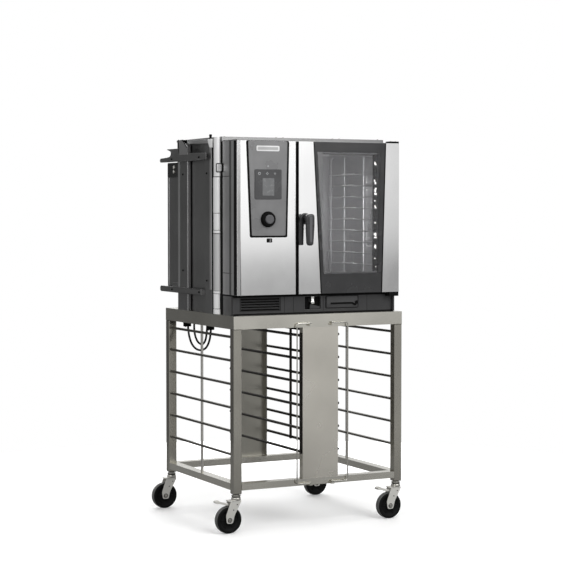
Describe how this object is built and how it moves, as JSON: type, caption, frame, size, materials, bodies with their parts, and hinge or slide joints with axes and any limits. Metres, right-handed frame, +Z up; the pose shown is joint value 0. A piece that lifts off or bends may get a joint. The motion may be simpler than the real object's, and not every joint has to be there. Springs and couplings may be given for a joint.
{
  "type": "combi steamer oven on a mobile stand",
  "caption": "Commercial combi steamer oven with a glazed side-hung door and a control column, on a mobile open stand with tray runners.",
  "frame": {"origin": "middle of the footprint, at floor level", "axes": "+Z up, front (door side) faces -Y, +X to the right seen from the front"},
  "size_m": [0.9755, 0.859, 1.806],
  "materials": {
    "air_grille": "black plastic",
    "air_guide_plate": "bright stainless",
    "base_chassis": "dark steel sheet",
    "base_front": "dark grey satin",
    "brake_pedal_front_left": "bright zinc plate",
    "brake_pedal_front_right": "bright zinc plate",
    "cable_clamp_1": "black plastic",
    "cable_clamp_2": "black plastic",
    "castor_fork_front_left": "bright zinc plate",
    "castor_fork_front_right": "bright zinc plate",
    "castor_fork_rear_left": "bright zinc plate",
    "castor_fork_rear_right": "bright zinc plate",
    "castor_wheel_front_left": "moulded rubber on a dark hub",
    "castor_wheel_front_right": "moulded rubber on a dark hub",
    "castor_wheel_rear_left": "moulded rubber on a dark hub",
    "castor_wheel_rear_right": "moulded rubber on a dark hub",
    "cavity_liner": "bright stainless",
    "column_fascia": "brushed stainless",
    "control_plate": "mid grey plate",
    "dial_cap": "grey",
    "dial_ring": "black",
    "display_module": "dark display cover",
    "door_frame": "brushed stainless",
    "door_glass_inner": "dark tinted glass",
    "door_glass_outer": "dark tinted glass",
    "door_seal": "black silicone",
    "drip_drawer": "dark grey plastic",
    "fan_motor": "dark casing",
    "fan_wheel": "stainless",
    "hand_shower": "chromed",
    "handle_lever": "black plastic",
    "handle_plate": "black plastic",
    "hanging_rack_left": "polished stainless wire",
    "hanging_rack_right": "polished stainless wire",
    "hinge_cover_lower": "black plastic",
    "hinge_cover_upper": "black plastic",
    "lead_gland_1": "black plastic",
    "lead_gland_2": "black plastic",
    "middle_panel_front": "satin stainless",
    "middle_panel_rear": "satin stainless",
    "post_front_left": "satin stainless tube",
    "post_front_right": "satin stainless tube",
    "post_rear_left": "satin stainless tube",
    "post_rear_right": "satin stainless tube",
    "rear_cover": "dark steel sheet",
    "ring_heater": "dark sheathed element",
    "side_guard": "brushed stainless",
    "side_panel_left": "dark steel sheet",
    "side_panel_right": "brushed stainless",
    "stand_bottom_frame": "satin stainless",
    "stand_top_frame": "satin stainless",
    "steam_generator": "stainless",
    "supply_lead": "black rubber sheath",
    "top_panel": "brushed stainless",
    "tray_bail_left": "bright rod",
    "tray_bail_right": "bright rod",
    "tray_runners_middle_left": "stainless rod",
    "tray_runners_middle_right": "stainless rod",
    "tray_runners_outer_left": "stainless rod",
    "tray_runners_outer_right": "stainless rod"
  },
  "bodies": {
    "oven_and_stand": {"air_grille": "air_grille", "air_guide_plate": "air_guide_plate", "base_chassis": "base_chassis", "base_front": "base_front", "cable_clamp_1": "cable_clamp_1", "cable_clamp_2": "cable_clamp_2", "cavity_liner": "cavity_liner", "column_fascia": "column_fascia", "control_plate": "control_plate", "display_module": "display_module", "door_seal": "door_seal", "fan_motor": "fan_motor", "hanging_rack_left": "hanging_rack_left", "hanging_rack_right": "hanging_rack_right", "hinge_cover_lower": "hinge_cover_lower", "hinge_cover_upper": "hinge_cover_upper", "lead_gland_1": "lead_gland_1", "lead_gland_2": "lead_gland_2", "middle_panel_front": "middle_panel_front", "middle_panel_rear": "middle_panel_rear", "post_front_left": "post_front_left", "post_front_right": "post_front_right", "post_rear_left": "post_rear_left", "post_rear_right": "post_rear_right", "rear_cover": "rear_cover", "ring_heater": "ring_heater", "side_guard": "side_guard", "side_panel_left": "side_panel_left", "side_panel_right": "side_panel_right", "stand_bottom_frame": "stand_bottom_frame", "stand_top_frame": "stand_top_frame", "steam_generator": "steam_generator", "supply_lead": "supply_lead", "top_panel": "top_panel", "tray_runners_middle_left": "tray_runners_middle_left", "tray_runners_middle_right": "tray_runners_middle_right", "tray_runners_outer_left": "tray_runners_outer_left", "tray_runners_outer_right": "tray_runners_outer_right"},
    "castor_front_left": {"castor_fork_front_left": "castor_fork_front_left"},
    "wheel_front_left": {"castor_wheel_front_left": "castor_wheel_front_left"},
    "pedal_front_left": {"brake_pedal_front_left": "brake_pedal_front_left"},
    "castor_front_right": {"castor_fork_front_right": "castor_fork_front_right"},
    "wheel_front_right": {"castor_wheel_front_right": "castor_wheel_front_right"},
    "pedal_front_right": {"brake_pedal_front_right": "brake_pedal_front_right"},
    "castor_rear_left": {"castor_fork_rear_left": "castor_fork_rear_left"},
    "wheel_rear_left": {"castor_wheel_rear_left": "castor_wheel_rear_left"},
    "castor_rear_right": {"castor_fork_rear_right": "castor_fork_rear_right"},
    "wheel_rear_right": {"castor_wheel_rear_right": "castor_wheel_rear_right"},
    "bail_left": {"tray_bail_left": "tray_bail_left"},
    "bail_right": {"tray_bail_right": "tray_bail_right"},
    "drawer": {"drip_drawer": "drip_drawer"},
    "shower": {"hand_shower": "hand_shower"},
    "dial": {"dial_ring": "dial_ring"},
    "dial_button": {"dial_cap": "dial_cap"},
    "fan": {"fan_wheel": "fan_wheel"},
    "door": {"door_frame": "door_frame", "door_glass_outer": "door_glass_outer", "door_glass_inner": "door_glass_inner", "handle_plate": "handle_plate"},
    "handle": {"handle_lever": "handle_lever"}
  },
  "joints": [
    {"name": "swivel_front_left", "type": "hinge", "parent": "oven_and_stand", "child": "castor_front_left", "pos_m": [-0.37975, -0.3475, 0.1787], "axis": [0, 0, 1], "continuous": true},
    {"name": "roll_front_left", "type": "hinge", "parent": "castor_front_left", "child": "wheel_front_left", "pos_m": [-0.41975, -0.3475, 0.0625], "axis": [0, 1, 0], "continuous": true},
    {"name": "brake_front_left", "type": "hinge", "parent": "castor_front_left", "child": "pedal_front_left", "pos_m": [-0.42975, -0.3475, 0.134], "axis": [0, 1, 0], "range_deg": [-8, 12]},
    {"name": "swivel_front_right", "type": "hinge", "parent": "oven_and_stand", "child": "castor_front_right", "pos_m": [0.46525, -0.3475, 0.1787], "axis": [0, 0, 1], "continuous": true},
    {"name": "roll_front_right", "type": "hinge", "parent": "castor_front_right", "child": "wheel_front_right", "pos_m": [0.42525, -0.3475, 0.0625], "axis": [0, 1, 0], "continuous": true},
    {"name": "brake_front_right", "type": "hinge", "parent": "castor_front_right", "child": "pedal_front_right", "pos_m": [0.41525, -0.3475, 0.134], "axis": [0, 1, 0], "range_deg": [-8, 12]},
    {"name": "swivel_rear_left", "type": "hinge", "parent": "oven_and_stand", "child": "castor_rear_left", "pos_m": [-0.37975, 0.3935, 0.1787], "axis": [0, 0, 1], "continuous": true},
    {"name": "roll_rear_left", "type": "hinge", "parent": "castor_rear_left", "child": "wheel_rear_left", "pos_m": [-0.41975, 0.3935, 0.0625], "axis": [0, 1, 0], "continuous": true},
    {"name": "swivel_rear_right", "type": "hinge", "parent": "oven_and_stand", "child": "castor_rear_right", "pos_m": [0.46525, 0.3935, 0.1787], "axis": [0, 0, 1], "continuous": true},
    {"name": "roll_rear_right", "type": "hinge", "parent": "castor_rear_right", "child": "wheel_rear_right", "pos_m": [0.42525, 0.3935, 0.0625], "axis": [0, 1, 0], "continuous": true},
    {"name": "bail_swing_left", "type": "hinge", "parent": "oven_and_stand", "child": "bail_left", "pos_m": [-0.01275, -0.3795, 0.205], "axis": [0, 0, 1], "range_deg": [0, 110]},
    {"name": "bail_swing_right", "type": "hinge", "parent": "oven_and_stand", "child": "bail_right", "pos_m": [0.10325, -0.3795, 0.205], "axis": [0, 0, -1], "range_deg": [0, 110]},
    {"name": "drawer_slide", "type": "slide", "parent": "oven_and_stand", "child": "drawer", "axis": [0, -1, 0], "range_m": [0, 0.26]},
    {"name": "shower_pull", "type": "slide", "parent": "oven_and_stand", "child": "shower", "axis": [0, -1, 0], "range_m": [0, 0.12]},
    {"name": "dial_turn", "type": "hinge", "parent": "oven_and_stand", "child": "dial", "pos_m": [-0.22775, -0.3675, 1.427], "axis": [0, 1, 0], "continuous": true},
    {"name": "dial_push", "type": "slide", "parent": "dial", "child": "dial_button", "axis": [0, 1, 0], "range_m": [0, 0.0018], "stiffness_N_per_m": 800, "springref_m": -0.0008},
    {"name": "fan_spin", "type": "hinge", "parent": "oven_and_stand", "child": "fan", "pos_m": [-0.03775, -0.0125, 1.415], "axis": [1, 0, 0], "continuous": true},
    {"name": "door_hinge", "type": "hinge", "parent": "oven_and_stand", "child": "door", "pos_m": [0.45525, -0.3475, 1.082], "axis": [0, 0, 1], "range_deg": [0, 125]},
    {"name": "handle_turn", "type": "hinge", "parent": "door", "child": "handle", "pos_m": [-0.03575, -0.3675, 1.432], "axis": [0, 1, 0], "range_deg": [-35, 35]}
  ]
}
